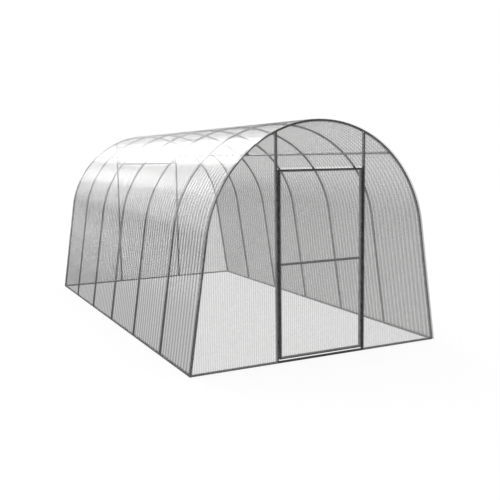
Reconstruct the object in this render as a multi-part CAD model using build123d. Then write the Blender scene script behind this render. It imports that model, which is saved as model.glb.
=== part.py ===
from build123d import *
from math import cos, radians, sin, sqrt, tan
import os

# An arched greenhouse: seven bent steel hoops on a ground frame, covered with rigid ribbed sheets,
# with a framed door in the front end and a framed vent high in the rear end.
# Millimetres. X runs across the front, Y from the front to the rear, Z up.
# The origin is the middle of the plan, at ground level.

# Overall form
base_width = 3000  # over the outer faces of the ground rails
crown_height = 2484  # outer face of the hoops at the ridge, above the ground
leg_lean = 8.45  # degrees, how far the straight legs lean in from upright
end_bay = 890  # hoop to hoop, first and last bay
middle_bay = 965  # hoop to hoop, the bays between
middle_bay_count = 4

# Stock
tube = 22  # square steel tube of the hoops, purlins and ground frame, outer side
end_tube = 25  # square steel tube of the posts and of the door and vent frames, outer side
sheet = 6  # ribbed sheet, thickness
sheet_lift = 6  # lower edge of every wall sheet, above the ground
sheet_joint = 2  # open joint between two sheets that meet over a tube
cover_overhang = 25  # roof sheets past the end hoops' outer faces
purlin_angle = 49  # degrees up the crown, from level

# End frames
post_spacing = 1055  # centre to centre of the two posts in each end
leaf_gap = 10  # open gap between a door or vent frame and its posts
door_lift = 16  # open gap between the sill and the door leaf
door_drop = 376  # from the hoop's inner face down to the leaf's upper corners
middle_rail_share = 0.507  # height of the door's middle rail along the leaf
head_gap = 18  # open gap between the door leaf and the sheet over it
vent_drop = 46  # from the hoop's inner face down to the vent's upper corners
vent_height = 310  # rear vent over its rails
pivot_radius = 5  # round pins that carry the vent between its posts

# Door hinges
hinge_shares = (0.1, 0.5, 0.9)  # heights of the hinges along the leaf
hinge_names = ("lower", "middle", "upper")
knuckle_radius = 6
knuckle_height = 32
hinge_stand = 11.5  # hinge axis in front of the frame's face
lug_width = 9  # width of a lug's seat on its tube
arm_thickness = 6  # lug's arm at the knuckle
pin_radius = 3.5
pin_clearance = 0.05  # radial play of the pin in the upper knuckle
knuckle_play = 0.3  # gap between the two knuckles along the axis
pin_end_gap = 3  # from the end of the pin to the top of the upper knuckle

# Hoop outline: two leaning legs and one arc tangent to both, through the ridge
lean = radians(leg_lean)
rail_top = tube
hoop_rise = crown_height - rail_top
crown_radius = (base_width / 2 * cos(lean) - hoop_rise * sin(lean)) / (1 - sin(lean))
crown_centre = crown_height - crown_radius

# Places along the length
bays = [end_bay] + [middle_bay] * middle_bay_count + [end_bay]
frame_length = sum(bays)
hoop_places = [sum(bays[:index]) - frame_length / 2 for index in range(len(bays) + 1)]
front_face = hoop_places[0] - tube / 2
rear_face = hoop_places[-1] + tube / 2

# Places across the ends
post_centre = post_spacing / 2
post_inner = post_centre - end_tube / 2
leaf_half = post_inner - leaf_gap
stile_centre = leaf_half - end_tube / 2

# Heights in the ends, measured down from the hoop where a leaf's upper corners come nearest to it
corner_height = crown_centre + sqrt((crown_radius - tube) ** 2 - leaf_half**2)
door_bottom = rail_top + door_lift
door_top = corner_height - door_drop
head_panel_bottom = door_top + head_gap
vent_top = corner_height - vent_drop
vent_bottom = vent_top - vent_height


def tunnel_face(inset, low):
    """Cross-section of the tunnel inside its outer line by the inset, down to the height low."""
    radius = crown_radius - inset
    spring_x = radius * cos(lean)
    spring_z = crown_centre + radius * sin(lean)
    foot_x = spring_x + (spring_z - low) * tan(lean)
    left_leg = Line((-foot_x, low), (-spring_x, spring_z))
    crown = ThreePointArc((-spring_x, spring_z), (0, crown_centre + radius), (spring_x, spring_z))
    right_leg = Line((spring_x, spring_z), (foot_x, low))
    base = Line((foot_x, low), (-foot_x, low))
    return make_face([left_leg, crown, right_leg, base])


def field(left, right, low, high):
    """Upright rectangle between two places across and two heights."""
    return Pos((left + right) / 2, (low + high) / 2) * Rectangle(right - left, high - low)


def slab(face, near, far):
    """Upright face given depth from the place near to the place far along Y."""
    return extrude(Plane.XZ.offset(-far) * face, amount=far - near)


def save(solid, name):
    export_step(solid, os.path.join("parts", name + ".step"))


def make_ground_frame():
    outer = base_width / 2
    inner = outer - tube
    save(slab(field(-outer, -inner, 0, rail_top), front_face, rear_face), "left_ground_rail")
    save(slab(field(inner, outer, 0, rail_top), front_face, rear_face), "right_ground_rail")
    sill = field(-inner, inner, 0, rail_top)
    save(slab(sill, front_face, front_face + tube), "front_sill")
    save(slab(sill, rear_face - tube, rear_face), "rear_sill")


def make_hoops():
    band = tunnel_face(0, rail_top) - tunnel_face(tube, rail_top)
    last = len(hoop_places) - 1
    for index, place in enumerate(hoop_places):
        name = {0: "front_hoop", last: "rear_hoop"}.get(index, f"hoop_{index + 1}")
        save(slab(band, place - tube / 2, place + tube / 2), name)


def make_purlins():
    # The flat side of the tube bears on the hoops' inner curve with its two edges
    bearing = sqrt((crown_radius - tube) ** 2 - (tube / 2) ** 2)
    reach = bearing - tube / 2
    angle = radians(purlin_angle)
    for side, name in ((-1, "left_purlin"), (1, "right_purlin")):
        centre = Pos(side * reach * cos(angle), crown_centre + reach * sin(angle))
        section = centre * Rot(0, 0, side * purlin_angle) * Rectangle(tube, tube)
        save(slab(section, front_face, rear_face), name)


def make_posts():
    inside = tunnel_face(tube, rail_top)
    for side, across in ((-1, "left"), (1, "right")):
        left = side * post_centre - end_tube / 2
        post = field(left, left + end_tube, rail_top, crown_height) & inside
        save(slab(post, front_face, front_face + end_tube), f"front_{across}_post")
        save(slab(post, rear_face - end_tube, rear_face), f"rear_{across}_post")


def make_cover():
    band = tunnel_face(-sheet, sheet_lift) - tunnel_face(0, sheet_lift)
    ends = [front_face - cover_overhang, hoop_places[2], hoop_places[4], rear_face + cover_overhang]
    for index, name in enumerate(("front", "middle", "rear")):
        near = ends[index] + (sheet_joint / 2 if index else 0)
        far = ends[index + 1] - (sheet_joint / 2 if index < 2 else 0)
        save(slab(band, near, far), f"cover_sheet_{name}")


def make_end_panels():
    # End sheets reach to the middle of the hoop's face and of the posts
    outline = tunnel_face(tube / 2, sheet_lift)
    edge = post_centre + sheet_joint / 2
    inner_edge = post_centre - sheet_joint / 2
    limit = base_width / 2
    left = outline & field(-limit, -edge, sheet_lift, crown_height)
    right = outline & field(edge, limit, sheet_lift, crown_height)
    over_door = outline & field(-inner_edge, inner_edge, head_panel_bottom, crown_height)
    under_vent = field(-inner_edge, inner_edge, sheet_lift, vent_bottom - leaf_gap)
    over_vent = outline & field(-inner_edge, inner_edge, vent_top + leaf_gap, crown_height)
    front = {"left": left, "right": right, "top": over_door}
    rear = {"left": left, "right": right, "lower": under_vent, "top": over_vent}
    for name, face in front.items():
        save(slab(face, front_face - sheet, front_face), f"front_{name}_panel")
    for name, face in rear.items():
        save(slab(face, rear_face, rear_face + sheet), f"rear_{name}_panel")


def make_leaf(name, low, high, rails, near, sheet_near):
    """Framed leaf between two posts: full-height stiles, rails between them and a sheet on the face."""
    for side, across in ((-1, "left"), (1, "right")):
        left = side * stile_centre - end_tube / 2
        save(slab(field(left, left + end_tube, low, high), near, near + end_tube), f"{name}_{across}_stile")
    between = leaf_half - end_tube
    for rail, centre in rails.items():
        face = field(-between, between, centre - end_tube / 2, centre + end_tube / 2)
        save(slab(face, near, near + end_tube), f"{name}_{rail}_rail")
    face = field(-stile_centre, stile_centre, low + end_tube / 2, high - end_tube / 2)
    save(slab(face, sheet_near, sheet_near + sheet), f"{name}_sheet")


def make_door():
    middle = door_bottom + middle_rail_share * (door_top - door_bottom)
    rails = {"bottom": door_bottom + end_tube / 2, "middle": middle, "top": door_top - end_tube / 2}
    make_leaf("door", door_bottom, door_top, rails, front_face, front_face - sheet)


def make_vent():
    rails = {"lower": vent_bottom + end_tube / 2, "upper": vent_top - end_tube / 2}
    make_leaf("vent", vent_bottom, vent_top, rails, rear_face - end_tube, rear_face)
    pins = Part()
    for side in (-1, 1):
        middle = Pos(side * (post_inner - leaf_gap / 2), rear_face - end_tube / 2, vent_top - end_tube / 2)
        pins += middle * Rot(0, 90, 0) * Cylinder(pivot_radius, leaf_gap)
    save(pins, "vent_pivots")


def knuckle_face(side):
    """Plan of a hinge knuckle about its axis, with its lug on the left (-1) or on the right (1)."""
    seat = leaf_gap / 2
    reach = seat + lug_width
    arm = Pos(side * reach / 2, 0) * Rectangle(reach, arm_thickness)
    depth = hinge_stand + arm_thickness / 2
    foot = Pos(side * (seat + lug_width / 2), hinge_stand - depth / 2) * Rectangle(lug_width, depth)
    return Circle(knuckle_radius) + arm + foot


def make_hinges():
    axis_x = -post_inner + leaf_gap / 2
    axis_y = front_face - hinge_stand
    for share, name in zip(hinge_shares, hinge_names):
        split = door_bottom + share * (door_top - door_bottom)
        axis = Pos(axis_x, axis_y, split)
        pin_length = knuckle_height + knuckle_play - pin_end_gap
        fixed = extrude(knuckle_face(-1), amount=-knuckle_height)
        fixed += extrude(Circle(pin_radius), amount=pin_length)
        moving = extrude(knuckle_face(1) - Circle(pin_radius + pin_clearance), amount=knuckle_height)
        save(axis * fixed, f"{name}_hinge_post_knuckle")
        save(axis * Pos(0, 0, knuckle_play) * moving, f"{name}_hinge_door_knuckle")


os.makedirs("parts", exist_ok=True)
make_ground_frame()
make_hoops()
make_purlins()
make_posts()
make_cover()
make_end_panels()
make_door()
make_vent()
make_hinges()
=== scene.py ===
from math import cos, pi, radians, sin, sqrt, tan

import bmesh
import bpy
from mathutils import Matrix, Vector


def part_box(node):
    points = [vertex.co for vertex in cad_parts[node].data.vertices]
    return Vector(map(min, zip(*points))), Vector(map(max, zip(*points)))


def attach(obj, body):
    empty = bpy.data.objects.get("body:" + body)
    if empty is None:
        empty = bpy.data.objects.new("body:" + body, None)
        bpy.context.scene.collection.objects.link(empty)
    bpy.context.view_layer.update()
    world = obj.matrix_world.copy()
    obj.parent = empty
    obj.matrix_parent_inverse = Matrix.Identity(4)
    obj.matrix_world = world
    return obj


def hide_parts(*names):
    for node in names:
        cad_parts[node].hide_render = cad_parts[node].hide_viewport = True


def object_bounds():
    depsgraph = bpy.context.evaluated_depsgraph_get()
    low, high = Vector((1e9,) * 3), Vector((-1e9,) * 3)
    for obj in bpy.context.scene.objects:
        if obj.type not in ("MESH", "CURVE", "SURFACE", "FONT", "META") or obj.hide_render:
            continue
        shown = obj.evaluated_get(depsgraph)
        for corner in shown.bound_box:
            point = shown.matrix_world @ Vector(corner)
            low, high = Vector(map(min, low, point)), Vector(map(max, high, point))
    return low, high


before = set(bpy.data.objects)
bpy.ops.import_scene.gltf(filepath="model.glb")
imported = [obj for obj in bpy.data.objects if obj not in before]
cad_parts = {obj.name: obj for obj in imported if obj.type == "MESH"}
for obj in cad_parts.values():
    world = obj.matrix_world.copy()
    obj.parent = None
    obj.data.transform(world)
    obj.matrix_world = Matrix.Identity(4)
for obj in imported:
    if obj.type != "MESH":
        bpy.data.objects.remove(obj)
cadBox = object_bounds()
print("frame loaded:", len(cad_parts), "nodes")

# Metres. X runs across the front, Y from the front to the rear, Z up, as in the frame.

hoopForm = {
    "lean": radians(8.45),  # of the straight legs, from upright
    "crownSteps": 56,
    "purlinAngle": radians(49),  # up the crown from level
}

# Outline of the hoops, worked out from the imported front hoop
hoopLow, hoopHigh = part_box("front_hoop")
lean = hoopForm["lean"]
halfBase = hoopHigh.x
railTop = hoopLow.z
crownRadius = (halfBase * cos(lean) - (hoopHigh.z - railTop) * sin(lean)) / (1 - sin(lean))
crownCentre = Vector((0, 0, hoopHigh.z - crownRadius))


def outlineHeight(x, inset):
    # Height of the tunnel's line, inside the hoops' outer face by the inset
    radius = crownRadius - inset
    springX = radius * cos(lean)
    if abs(x) <= springX:
        return crownCentre.z + sqrt(radius ** 2 - x ** 2)
    return crownCentre.z + radius * sin(lean) - (abs(x) - springX) / tan(lean)


def linear(hexColour):
    # sRGB hex to linear RGBA
    channels = [int(hexColour[i:i + 2], 16) / 255 for i in (1, 3, 5)]
    return tuple(c / 12.92 if c <= 0.04045 else ((c + 0.055) / 1.055) ** 2.4 for c in channels) + (1,)


def addNode(tree, kind, sockets=None, **settings):
    node = tree.nodes.new(kind)
    for name, value in settings.items():
        setattr(node, name, value)
    for name, value in (sockets or {}).items():
        if isinstance(value, bpy.types.NodeSocket):
            tree.links.new(value, node.inputs[name])
        else:
            node.inputs[name].default_value = value
    return node


def newMaterial(name):
    material = bpy.data.materials.new(name)
    material.use_nodes = True
    tree = material.node_tree
    return material, tree, tree.nodes["Principled BSDF"]


# Materials. A Mix node takes its two colours in sockets 6 and 7 and gives the mixed one in output 2.

paintLook = {
    "colour": "#2e2f31",
    "dust": "#4b4a46",
    "dustGrain": 0.09,
    "dustFrom": (0.45, 0.85),  # noise where the dust begins and where it is thickest
    "dustMost": 0.4,
    "shine": 0.3,
    "roughFrom": (0.3, 0.8),  # noise between which the roughness grows
    "rough": (0.22, 0.36),
    "peelGrain": 0.004,  # real orange peel is about 1 mm, drawn coarser so that it shows
    "peelStrength": 0.12,
    "peelDepth": 0.0004,
}


def makeTubePaint():
    # Powder-coated steel tube: an even dark grey with a soft sheen, faint orange peel and a little dust
    material, tree, shader = newMaterial("powder_coated_steel")
    place = addNode(tree, "ShaderNodeTexCoord").outputs["Object"]
    dust = addNode(tree, "ShaderNodeTexNoise", {
        "Vector": place,
        "Scale": 1 / paintLook["dustGrain"],
        "Detail": 5,
        "Roughness": 0.65,
    })
    spread = addNode(tree, "ShaderNodeMapRange", {
        "Value": dust.outputs["Fac"],
        "From Min": paintLook["dustFrom"][0],
        "From Max": paintLook["dustFrom"][1],
        "To Min": 0,
        "To Max": paintLook["dustMost"],
    })
    colour = addNode(tree, "ShaderNodeMix", {
        "Factor": spread.outputs["Result"],
        6: linear(paintLook["colour"]),
        7: linear(paintLook["dust"]),
    }, data_type="RGBA")
    gloss = addNode(tree, "ShaderNodeMapRange", {
        "Value": dust.outputs["Fac"],
        "From Min": paintLook["roughFrom"][0],
        "From Max": paintLook["roughFrom"][1],
        "To Min": paintLook["rough"][0],
        "To Max": paintLook["rough"][1],
    })
    peel = addNode(tree, "ShaderNodeTexNoise", {
        "Vector": place,
        "Scale": 1 / paintLook["peelGrain"],
        "Detail": 2,
    })
    bump = addNode(tree, "ShaderNodeBump", {
        "Height": peel.outputs["Fac"],
        "Strength": paintLook["peelStrength"],
        "Distance": paintLook["peelDepth"],
    })
    shader.inputs["Specular IOR Level"].default_value = paintLook["shine"]
    tree.links.new(colour.outputs[2], shader.inputs["Base Color"])
    tree.links.new(gloss.outputs["Result"], shader.inputs["Roughness"])
    tree.links.new(bump.outputs["Normal"], shader.inputs["Normal"])
    return material


sheetLook = {
    "mirror": "#fafafa",
    "squareOn": 0.045,  # share of the light that a face mirrors, seen square on
    "glancing": 0.08,  # and how much more at a glancing angle
    "glancePower": 5,
    "dieLine": 0.016,  # die lines are under a millimetre apart, drawn coarser so that they show
    "roughFrom": (0.3, 0.7),  # noise of the die lines between which the roughness grows
    "rough": (0.1, 0.18),
    "milk": "#e8e8e6",
    "milkGrain": 0.12,
    "milkFrom": (0.35, 0.7),  # noise between which the haze grows
    "milkRough": 0.8,
    "ior": 1.58,
}

coverLook = {
    "tint": ("#e0e0e0", "#c7c7c7"),  # what one face lets through, in a rib's trough and on its crest; the crest's darker tint is painted shade that brings out the ribs
    "upperTint": ("#f4f4f4", "#e4e4e4"),  # the same higher up, where it is lighter; the crest again darker by painted shade
    "lighterAbove": (1.45, 1.95),  # heights between which it turns lighter
    "haze": (0.01, 0.03),  # least and most share of a face that scatters the light
    "through": 0.5,  # how much of that goes on through the sheet
    "stretch": (0.05, 1, 0.05),  # lays the die lines along the ribs
}

endLook = {
    "tint": ("#f7f7f7", "#ededed"),  # in one cell and in the next; the darker one is painted shade, so that the cells show
    "haze": (0.07, 0.12),
    "through": 0.15,
    "stretch": (1, 1, 0.05),
}


def makePolycarbonate(name, look):
    # Extruded polycarbonate: clear with a grey tint and a little milk in it, a soft mirror that is stronger
    # at a glancing angle, and faint die lines along the ribs; a darker tint on the crests or on every other
    # cell is painted shade
    material, tree, shader = newMaterial(name)
    place = addNode(tree, "ShaderNodeTexCoord").outputs["Object"]
    along = addNode(tree, "ShaderNodeMapping", {"Vector": place, "Scale": look["stretch"]})
    dieLine = addNode(tree, "ShaderNodeTexNoise", {
        "Vector": along.outputs["Vector"],
        "Scale": 1 / sheetLook["dieLine"],
        "Detail": 3,
    })
    gloss = addNode(tree, "ShaderNodeMapRange", {
        "Value": dieLine.outputs["Fac"],
        "From Min": sheetLook["roughFrom"][0],
        "From Max": sheetLook["roughFrom"][1],
        "To Min": sheetLook["rough"][0],
        "To Max": sheetLook["rough"][1],
    })
    # The rib mark gives the crests, or every other cell, the darker tint: painted shade that brings out the
    # ribs
    rib = addNode(tree, "ShaderNodeAttribute", attribute_name="rib").outputs["Fac"]
    tintAndRibShade = addNode(tree, "ShaderNodeMix", {
        "Factor": rib,
        6: linear(look["tint"][0]),
        7: linear(look["tint"][1]),
    }, data_type="RGBA")
    # Between these heights the tint turns lighter, up to the upper one
    if "upperTint" in look:
        upperTint = addNode(tree, "ShaderNodeMix", {
            "Factor": rib,
            6: linear(look["upperTint"][0]),
            7: linear(look["upperTint"][1]),
        }, data_type="RGBA")
        height = addNode(tree, "ShaderNodeSeparateXYZ", {"Vector": place}).outputs["Z"]
        lighterAbove = addNode(tree, "ShaderNodeMapRange", {
            "Value": height,
            "From Min": look["lighterAbove"][0],
            "From Max": look["lighterAbove"][1],
        }, interpolation_type="SMOOTHSTEP")
        tintAndRibShade = addNode(tree, "ShaderNodeMix", {
            "Factor": lighterAbove.outputs["Result"],
            6: tintAndRibShade.outputs[2],
            7: upperTint.outputs[2],
        }, data_type="RGBA")
    clear = addNode(tree, "ShaderNodeBsdfTransparent", {"Color": tintAndRibShade.outputs[2]})
    mirror = addNode(tree, "ShaderNodeBsdfAnisotropic", {
        "Color": linear(sheetLook["mirror"]),
        "Roughness": gloss.outputs["Result"],
    })
    facing = addNode(tree, "ShaderNodeLayerWeight", {"Blend": 0.5}).outputs["Facing"]
    glance = addNode(tree, "ShaderNodeMath", {0: facing, 1: sheetLook["glancePower"]}, operation="POWER")
    share = addNode(tree, "ShaderNodeMath", {
        0: glance.outputs[0],
        1: sheetLook["glancing"],
        2: sheetLook["squareOn"],
    }, operation="MULTIPLY_ADD")
    pane = addNode(tree, "ShaderNodeMixShader", {
        0: share.outputs[0],
        1: clear.outputs[0],
        2: mirror.outputs[0],
    })
    cloud = addNode(tree, "ShaderNodeTexNoise", {
        "Vector": place,
        "Scale": 1 / sheetLook["milkGrain"],
        "Detail": 6,
        "Roughness": 0.7,
    })
    haze = addNode(tree, "ShaderNodeMapRange", {
        "Value": cloud.outputs["Fac"],
        "From Min": sheetLook["milkFrom"][0],
        "From Max": sheetLook["milkFrom"][1],
        "To Min": look["haze"][0],
        "To Max": look["haze"][1],
    })
    shader.inputs["Base Color"].default_value = linear(sheetLook["milk"])
    shader.inputs["IOR"].default_value = sheetLook["ior"]
    shader.inputs["Roughness"].default_value = sheetLook["milkRough"]
    glow = addNode(tree, "ShaderNodeBsdfTranslucent", {"Color": linear(sheetLook["milk"])})
    scatter = addNode(tree, "ShaderNodeMixShader", {
        0: look["through"],
        1: shader.outputs[0],
        2: glow.outputs[0],
    })
    sheet = addNode(tree, "ShaderNodeMixShader", {
        0: haze.outputs["Result"],
        1: pane.outputs[0],
        2: scatter.outputs[0],
    })
    tree.links.new(sheet.outputs[0], tree.nodes["Material Output"].inputs["Surface"])
    return material


tubePaint = makeTubePaint()
coverPlastic = makePolycarbonate("corrugated_polycarbonate", coverLook)
endPlastic = makePolycarbonate("twin_wall_polycarbonate", endLook)
print("materials made")


def finishPiece(bm, node, material, body="frame", crease=radians(40)):
    # The new piece stands where its node is, in the mesh itself
    mesh = bpy.data.meshes.new(node)
    bm.to_mesh(mesh)
    bm.free()
    mesh.materials.append(material)
    mesh.shade_smooth()
    mesh.set_sharp_from_angle(angle=crease)
    piece = bpy.data.objects.new(node + "_piece", mesh)
    bpy.context.scene.collection.objects.link(piece)
    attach(piece, body)
    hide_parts(node)


# Tubes

tubeStock = {
    "side": 0.022,  # hoops and purlins; the other tubes take theirs from the node
    "corner": 0.0022,  # outside radius of the drawn tube's corners
    "cornerSteps": 3,
    "wall": 0.0015,
    "boreDepth": 0.05,  # how far an open end is hollow
}


def tubeSection(bm, matrix, side=tubeStock["side"]):
    # Square with rounded corners, in the plane that the matrix gives
    grid = bmesh.ops.create_grid(bm, x_segments=1, y_segments=1, size=side / 2, matrix=matrix)
    bmesh.ops.bevel(bm, geom=grid["verts"], offset=tubeStock["corner"], offset_type="OFFSET",
                    segments=tubeStock["cornerSteps"], profile=0.5, affect="VERTICES", material=-1)
    bm.faces.ensure_lookup_table()
    return bm.faces[0]


def extrudeFace(bm, face):
    # The new end face of an extrusion, not moved yet
    result = bmesh.ops.extrude_face_region(bm, geom=[face])
    return [item for item in result["geom"] if isinstance(item, bmesh.types.BMFace)][0]


def openEnd(bm, face, along):
    # Bore of the tube, a little way in from an end that shows
    bmesh.ops.inset_region(bm, faces=[face], thickness=tubeStock["wall"], use_even_offset=True)
    bore = extrudeFace(bm, face)
    bmesh.ops.translate(bm, verts=bore.verts, vec=along * tubeStock["boreDepth"])


def makeStraightTube(node, turn=0, openEnds=False):
    low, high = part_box(node)
    size = high - low
    axis = max(range(3), key=lambda i: size[i])
    along = Vector([float(i == axis) for i in range(3)])
    start = (low + high) / 2 - along * size[axis] / 2
    facing = along.to_track_quat("Z", "Y").to_matrix().to_4x4()
    bm = bmesh.new()
    side = tubeStock["side"] if turn else min(size)
    first = tubeSection(bm, Matrix.Translation(start) @ Matrix.Rotation(turn, 4, along) @ facing, side)
    last = extrudeFace(bm, first)
    bmesh.ops.translate(bm, verts=last.verts, vec=along * size[axis])
    if openEnds:
        # The two ends are the only faces with more than four corners
        ends = [face for face in bm.faces if abs(face.normal.dot(along)) > 0.9 and len(face.verts) > 4]
        for face in ends:
            atStart = face.calc_center_median().dot(along) < (low + high).dot(along) / 2
            openEnd(bm, face, along if atStart else -along)
    bmesh.ops.recalc_face_normals(bm, faces=bm.faces[:])
    return bm


def dropToRail(face, side):
    # Leg's end slid along the leg until it lies level on the ground rail
    down = Vector((side * sin(lean), 0, -cos(lean)))
    for vert in face.verts:
        vert.co += down * ((vert.co.z - railTop) / cos(lean))


def makeHoop(node):
    low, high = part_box(node)
    middle = (low.y + high.y) / 2
    reach = crownRadius - tubeStock["side"] / 2
    spring = Vector((-reach * cos(lean), middle, crownCentre.z + reach * sin(lean)))
    bm = bmesh.new()
    first = tubeSection(bm, Matrix.Translation(spring) @ Matrix.Rotation(lean, 4, "Y"))
    swept = bmesh.ops.spin(bm, geom=[first], cent=crownCentre, axis=(0, 1, 0), angle=pi - 2 * lean,
                           steps=hoopForm["crownSteps"], use_merge=False, use_duplicate=False)
    last = [item for item in swept["geom_last"] if isinstance(item, bmesh.types.BMFace)][0]
    start = [face for face in bm.faces if len(face.verts) > 4 and face != last][0]
    dropToRail(extrudeFace(bm, start), -1)
    dropToRail(extrudeFace(bm, last), 1)
    bmesh.ops.recalc_face_normals(bm, faces=bm.faces[:])
    finishPiece(bm, node, tubePaint)


def makePost(node):
    # Upper end cut to the hoop's inner curve
    bm = makeStraightTube(node)
    low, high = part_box(node)
    for vert in bm.verts:
        if vert.co.z > low.z + tubeStock["side"]:
            vert.co.z = outlineHeight(vert.co.x, tubeStock["side"])
    finishPiece(bm, node, tubePaint)


hoopNodes = ["front_hoop"] + [f"hoop_{i}" for i in range(2, 7)] + ["rear_hoop"]
for node in hoopNodes:
    makeHoop(node)
for end in ("front", "rear"):
    for side in ("left", "right"):
        makePost(f"{end}_{side}_post")
    finishPiece(makeStraightTube(f"{end}_sill"), f"{end}_sill", tubePaint)
for side, sign in (("left", -1), ("right", 1)):
    bm = makeStraightTube(f"{side}_ground_rail", openEnds=True)
    finishPiece(bm, f"{side}_ground_rail", tubePaint)
    bm = makeStraightTube(f"{side}_purlin", turn=-sign * hoopForm["purlinAngle"], openEnds=True)
    finishPiece(bm, f"{side}_purlin", tubePaint)
leaves = (
    ("door", "door", ("bottom", "middle", "top")),
    ("vent", "frame", ("lower", "upper")),
)
for leaf, body, rails in leaves:
    for side in ("left", "right"):
        node = f"{leaf}_{side}_stile"
        finishPiece(makeStraightTube(node, openEnds=True), node, tubePaint, body)
    for rail in rails:
        node = f"{leaf}_{rail}_rail"
        finishPiece(makeStraightTube(node), node, tubePaint, body)
print("tubes made")


# Sheets

coverSheet = {
    "ribPitch": 0.0745,  # crest to crest of the corrugation, half of it flat and half slope
    "skin": 0.0012,
    "seat": 0.0002,  # clear of the hoops it lies on
    "margin": 0.0004,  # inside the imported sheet's outer face and ends
    "crownSteps": 60,
    "crease": radians(8),  # rib corners stay sharp, the crown's steps are smoothed
}


def makeCoverSheet(node):
    low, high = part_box(node)
    near = low.y + coverSheet["margin"]
    length = high.y - coverSheet["margin"] - near
    ribs = round(length / coverSheet["ribPitch"])
    inner = crownRadius + coverSheet["seat"]
    depth = high.z - hoopHigh.z - coverSheet["seat"] - coverSheet["skin"] - coverSheet["margin"]
    outward = Vector((-cos(lean), 0, sin(lean)))
    bm = bmesh.new()
    # Marks the crest, which is raised and which also takes the darker tint, painted shade
    crest = bm.verts.layers.float.new("rib")
    ends = [bm.verts.new(crownCentre + outward * inner + Vector((0, y, 0))) for y in (near, near + length)]
    line = bm.edges.new(ends)
    steps = 4 * ribs + 1  # trough, slope, crest and slope in each rib, and a trough at both ends
    bmesh.ops.subdivide_edges(bm, edges=[line], cuts=steps - 1)
    for vert in bm.verts:
        step = round((vert.co.y - near) / length * steps)
        vert[crest] = float(step % 4 in (2, 3))
        vert.co += outward * depth * vert[crest]
    firstEdges = bm.edges[:]
    swept = bmesh.ops.spin(bm, geom=bm.verts[:] + firstEdges, cent=crownCentre, axis=(0, 1, 0),
                           angle=pi - 2 * lean, steps=coverSheet["crownSteps"],
                           use_merge=False, use_duplicate=False)
    lastEdges = [item for item in swept["geom_last"] if isinstance(item, bmesh.types.BMEdge)]
    for edges, side in ((firstEdges, -1), (lastEdges, 1)):
        result = bmesh.ops.extrude_edge_only(bm, edges=edges)
        down = Vector((side * sin(lean), 0, -cos(lean)))
        for vert in result["geom"]:
            if isinstance(vert, bmesh.types.BMVert):
                vert.co += down * ((vert.co.z - low.z) / cos(lean))
    bmesh.ops.recalc_face_normals(bm, faces=bm.faces[:])
    if sum(face.normal.dot(face.calc_center_median() - crownCentre) for face in bm.faces) < 0:
        bmesh.ops.reverse_faces(bm, faces=bm.faces[:])
    bmesh.ops.solidify(bm, geom=bm.faces[:], thickness=-coverSheet["skin"])
    finishPiece(bm, node, coverPlastic, crease=coverSheet["crease"])


endSheet = {
    "cellPitch": 0.012,  # real cells are about 8 mm wide, drawn wider so that they show
    "cellGap": 0.0004,  # between the walls of two cells, where the web is
    "smallest": 1e-5,  # edges shorter than this, where a cell's upper end has no height, are closed
}


def makeEndSheet(node, body="frame"):
    low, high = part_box(node)
    width = high.x - low.x
    cells = round(width / endSheet["cellPitch"])
    bm = bmesh.new()
    # Marks every other cell for the darker tint, painted shade that makes the cells show
    shaded = bm.verts.layers.float.new("rib")
    upright = Matrix.Rotation(pi / 2, 4, "X") @ Matrix.Diagonal((width, 1, 1, 1))
    middle = Matrix.Translation(((low.x + high.x) / 2, high.y, low.z))
    bmesh.ops.create_grid(bm, x_segments=cells, y_segments=1, size=0.5, matrix=middle @ upright)
    for vert in bm.verts:
        if vert.co.z < low.z:
            vert.co.z = low.z
        else:
            edge = outlineHeight(vert.co.x, tubeStock["side"] / 2)
            vert.co.z = max(low.z, min(high.z, edge))
    bmesh.ops.split_edges(bm, edges=bm.edges[:])
    for face in bm.faces:
        middleX = face.calc_center_median().x
        for vert in face.verts:
            vert.co.x += endSheet["cellGap"] / 2 * (1 if vert.co.x < middleX else -1)
            vert[shaded] = float(int((middleX - low.x) / width * cells) % 2)
    result = bmesh.ops.extrude_face_region(bm, geom=bm.faces[:])
    moved = [item for item in result["geom"] if isinstance(item, bmesh.types.BMVert)]
    bmesh.ops.translate(bm, verts=moved, vec=(0, low.y - high.y, 0))
    bmesh.ops.dissolve_degenerate(bm, dist=endSheet["smallest"], edges=bm.edges[:])
    bmesh.ops.recalc_face_normals(bm, faces=bm.faces[:])
    finishPiece(bm, node, endPlastic, body)


for node in ("cover_sheet_front", "cover_sheet_middle", "cover_sheet_rear"):
    makeCoverSheet(node)
endNodes = (
    "front_left_panel", "front_right_panel", "front_top_panel",
    "rear_left_panel", "rear_right_panel", "rear_lower_panel", "rear_top_panel",
    "vent_sheet",
)
for node in endNodes:
    makeEndSheet(node)
makeEndSheet("door_sheet", "door")
print("sheets made")

# Hinges and vent pins keep their solids
for name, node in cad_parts.items():
    if "knuckle" in name or name == "vent_pivots":
        node.data.materials.clear()
        node.data.materials.append(tubePaint)


# Floor, light and camera

floorLook = {
    "size": 60,
    "glow": 0.88,  # most of its white is its own, so that the tunnel's shade on it stays faint
    "colour": "#484848",
}


def makeFloor():
    bm = bmesh.new()
    bmesh.ops.create_grid(bm, x_segments=1, y_segments=1, size=floorLook["size"] / 2)
    bmesh.ops.translate(bm, verts=bm.verts[:], vec=(0, 0, cadBox[0][2]))
    mesh = bpy.data.meshes.new("floor")
    bm.to_mesh(mesh)
    bm.free()
    material, tree, shader = newMaterial("matt_white_floor")
    shader.inputs["Base Color"].default_value = linear(floorLook["colour"])
    shader.inputs["Roughness"].default_value = 1
    shader.inputs["Specular IOR Level"].default_value = 0
    shader.inputs["Emission Color"].default_value = (1, 1, 1, 1)
    shader.inputs["Emission Strength"].default_value = floorLook["glow"]
    mesh.materials.append(material)
    floor = bpy.data.objects.new("floor", mesh)
    bpy.context.scene.collection.objects.link(floor)


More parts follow.
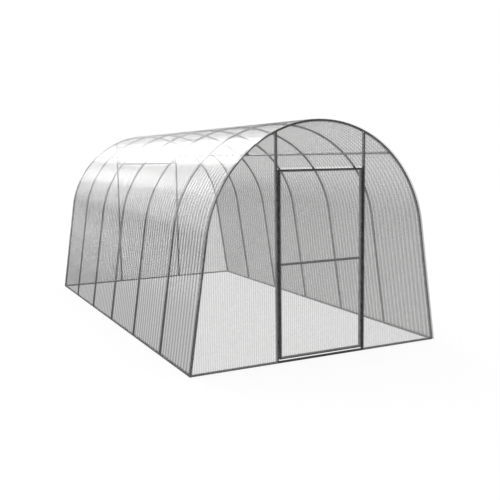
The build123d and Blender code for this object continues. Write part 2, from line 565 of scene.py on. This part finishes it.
studio = {
    "brightest": 10,  # strength of the light, the brightnesses below are divided by it
    # Degrees above the horizon and the brightness there
    "allRound": ((0, 0.2), (12, 0.35), (30, 0.6), (45, 1.1), (62, 3.2)),
    "beyondRear": (
        (0, 2.6), (2, 2), (3.3, 0.5), (5.3, 0.8), (7.3, 3.2), (9.3, 4.4),
        (40, 4.2), (50, 2.2), (62, 3.2),
    ),
    "rearTilt": 0.2,  # the bright band behind the rear end rises to the right
    "rearWay": radians(-15),  # middle of the bright side, from straight behind
    "rearEdge": (0.62, 0.74),  # cosine of the angle from it, at the dim and at the bright side of its edge
}

# Strip lights above the rear, along the tunnel: the slope of the middle, X over Z, the outer and the inner
# edge from there, the degrees between which the far and the near end fade, and the brightness
strips = (
    {"middle": 0.235, "edges": (0.42, 0.28), "farEnd": (13, 15.5), "nearEnd": (27.5, 25.5), "light": 13},
    {"middle": -0.65, "edges": (0.4, 0.15), "farEnd": (6, 9), "nearEnd": (22, 14), "light": 4},
)


def makeLight():
    # White all round the view; the light itself is bright above the rear and dim in front
    world = bpy.data.worlds.new("studio")
    bpy.context.scene.world = world
    world.use_nodes = True
    tree = world.node_tree
    tree.nodes.clear()
    direction = addNode(tree, "ShaderNodeTexCoord").outputs["Generated"]
    glows = []
    for name, up in (("allRound", (0, 0, 1)), ("beyondRear", (-studio["rearTilt"], 0, 1))):
        height = addNode(tree, "ShaderNodeVectorMath", {0: direction, 1: up}, operation="DOT_PRODUCT")
        ramp = addNode(tree, "ShaderNodeValToRGB", {"Fac": height.outputs["Value"]})
        stops = ramp.color_ramp.elements
        for degrees, brightness in studio[name]:
            stop = stops.new(sin(radians(degrees)))
            stop.color = [brightness / studio["brightest"]] * 3 + [1]
        # The two stops that a new ramp comes with
        stops.remove(stops[-1])
        stops.remove(stops[0])
        glows.append(ramp.outputs["Color"])
    way = (sin(studio["rearWay"]), cos(studio["rearWay"]), 0)
    near = addNode(tree, "ShaderNodeVectorMath", {0: direction, 1: way}, operation="DOT_PRODUCT")
    behind = addNode(tree, "ShaderNodeMapRange", {
        "Value": near.outputs["Value"],
        "From Min": studio["rearEdge"][0],
        "From Max": studio["rearEdge"][1],
    }, interpolation_type="SMOOTHSTEP")
    lit = addNode(tree, "ShaderNodeMix", {
        "Factor": behind.outputs["Result"],
        6: glows[0],
        7: glows[1],
    }, data_type="RGBA")
    parts = addNode(tree, "ShaderNodeSeparateXYZ", {"Vector": direction}).outputs
    slope = addNode(tree, "ShaderNodeMath", {0: parts["X"], 1: parts["Z"]}, operation="DIVIDE")
    for strip in strips:
        off = addNode(tree, "ShaderNodeMath", {0: slope.outputs[0], 1: strip["middle"]}, operation="SUBTRACT")
        away = addNode(tree, "ShaderNodeMath", {0: off.outputs[0]}, operation="ABSOLUTE")
        fades = [(away.outputs[0], strip["edges"])]
        for end in ("farEnd", "nearEnd"):
            fades.append((parts["Z"], [sin(radians(degrees)) for degrees in strip[end]]))
        within = behind.outputs["Result"]
        for value, (outer, inner) in fades:
            edge = addNode(tree, "ShaderNodeMapRange", {
                "Value": value,
                "From Min": outer,
                "From Max": inner,
            }, interpolation_type="SMOOTHSTEP")
            both = addNode(tree, "ShaderNodeMath", {
                0: within,
                1: edge.outputs["Result"],
            }, operation="MULTIPLY")
            within = both.outputs[0]
        lit = addNode(tree, "ShaderNodeMix", {
            "Factor": within,
            6: lit.outputs[2],
            7: [strip["light"] / studio["brightest"]] * 3 + [1],
        }, data_type="RGBA", blend_type="ADD")
    light = addNode(tree, "ShaderNodeBackground", {"Color": lit.outputs[2], "Strength": studio["brightest"]})
    white = addNode(tree, "ShaderNodeBackground", {"Color": (1, 1, 1, 1), "Strength": 1})
    seen = addNode(tree, "ShaderNodeLightPath")
    mixed = addNode(tree, "ShaderNodeMixShader", {
        0: seen.outputs["Is Camera Ray"],
        1: light.outputs[0],
        2: white.outputs[0],
    })
    addNode(tree, "ShaderNodeOutputWorld", {"Surface": mixed.outputs[0]})


view = {
    "place": (-3.9111, -9.0625, 2.1157),
    "yaw": radians(26.301),
    "pitch": radians(7.498),
    "roll": radians(-0.777),
    "lens": 51.1128,  # millimetres, like the sensor
    "sensor": 36,
}


def makeCamera():
    data = bpy.data.cameras.new("camera")
    data.lens = view["lens"]
    data.sensor_width = view["sensor"]
    camera = bpy.data.objects.new("camera", data)
    aim = Matrix.Rotation(-view["yaw"], 4, "Z") @ Matrix.Rotation(pi / 2 - view["pitch"], 4, "X")
    turn = aim @ Matrix.Rotation(view["roll"], 4, "Z")
    camera.matrix_world = Matrix.Translation(view["place"]) @ turn
    bpy.context.scene.collection.objects.link(camera)
    bpy.context.scene.camera = camera


makeFloor()
makeLight()
makeCamera()
bpy.context.scene.view_settings.view_transform = "Standard"
# A look along the tunnel goes through many faces of clear sheet
bpy.context.scene.cycles.transparent_max_bounces = 64
print("stage made")
